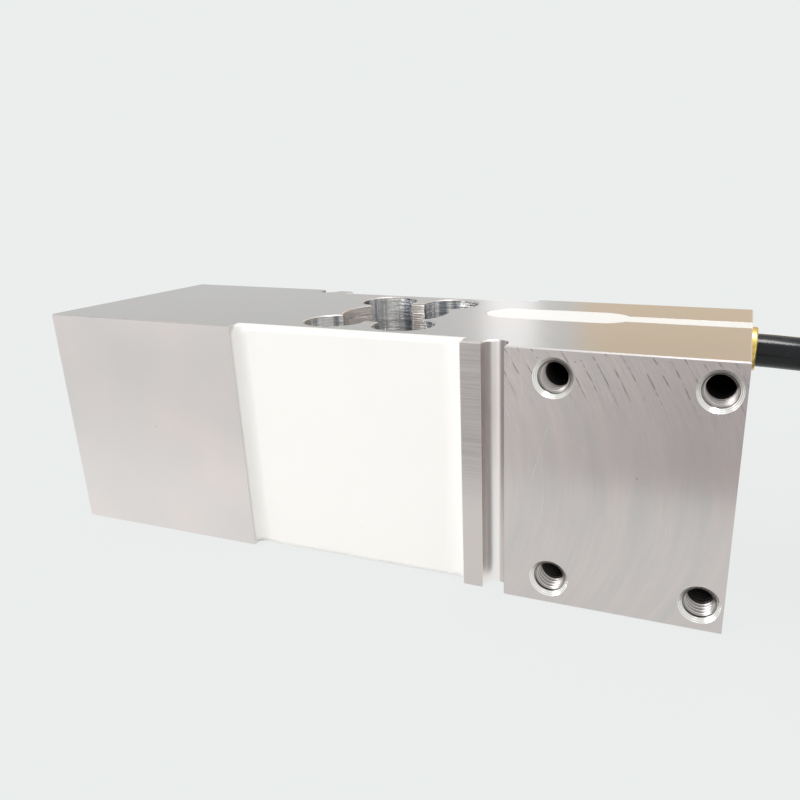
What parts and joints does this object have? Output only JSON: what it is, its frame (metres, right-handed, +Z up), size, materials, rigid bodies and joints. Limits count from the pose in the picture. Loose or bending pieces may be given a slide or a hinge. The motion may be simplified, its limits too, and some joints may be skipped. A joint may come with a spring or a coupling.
{
  "type": "single point load cell",
  "caption": "Milled aluminium load cell beam with a lobed flexure pocket through it, white potted gauge recesses, tapped mounting pads, and a coiled shielded cable.",
  "frame": {"origin": "under the middle of the beam, on the side face that it lies on", "axes": "+X along the beam towards its fixed, cable end; +Y towards the loading face, so the mounting face looks to -Y; +Z up, through the flexure pocket"},
  "size_m": [0.2798, 0.0622, 0.0506],
  "materials": {
    "aluminium": "milled, with a clear satin surface",
    "white_potting": "smooth matt silicone",
    "gauge_film": "amber film",
    "solder": "tinned",
    "enamelled_wire": "enamelled copper",
    "board": "solder mask",
    "resistor_body": "chip body",
    "brass": "turned",
    "black_sheath": "glossy extruded sheath",
    "tie_nylon": "moulded nylon",
    "red_core": "extruded insulation",
    "black_core": "extruded insulation",
    "green_core": "extruded insulation",
    "white_core": "extruded insulation",
    "tinned_copper": "stranded, tinned"
  },
  "bodies": {
    "root": {"spring_element": "aluminium", "potting_front": "white_potting", "potting_rear": "white_potting", "potting_channel": "white_potting", "strain_gauge_front_1": "gauge_film", "strain_gauge_front_2": "gauge_film", "strain_gauge_rear_1": "gauge_film", "strain_gauge_rear_2": "gauge_film", "solder_terminals_front": "solder", "solder_terminals_rear": "solder", "gauge_wires_front": "enamelled_wire", "gauge_wires_rear": "enamelled_wire", "compensation_board": "board", "trim_resistors": "resistor_body", "inner_cores": "white_core", "cable_ferrule": "brass", "cable_lead": "black_sheath", "cable_hank": "black_sheath", "cable_tail": "black_sheath", "cable_tie_1": "tie_nylon", "cable_tie_2": "tie_nylon", "lead_red": "red_core", "lead_black": "black_core", "lead_green": "green_core", "lead_white": "white_core", "shield_drain": "tinned_copper"}
  },
  "joints": []
}
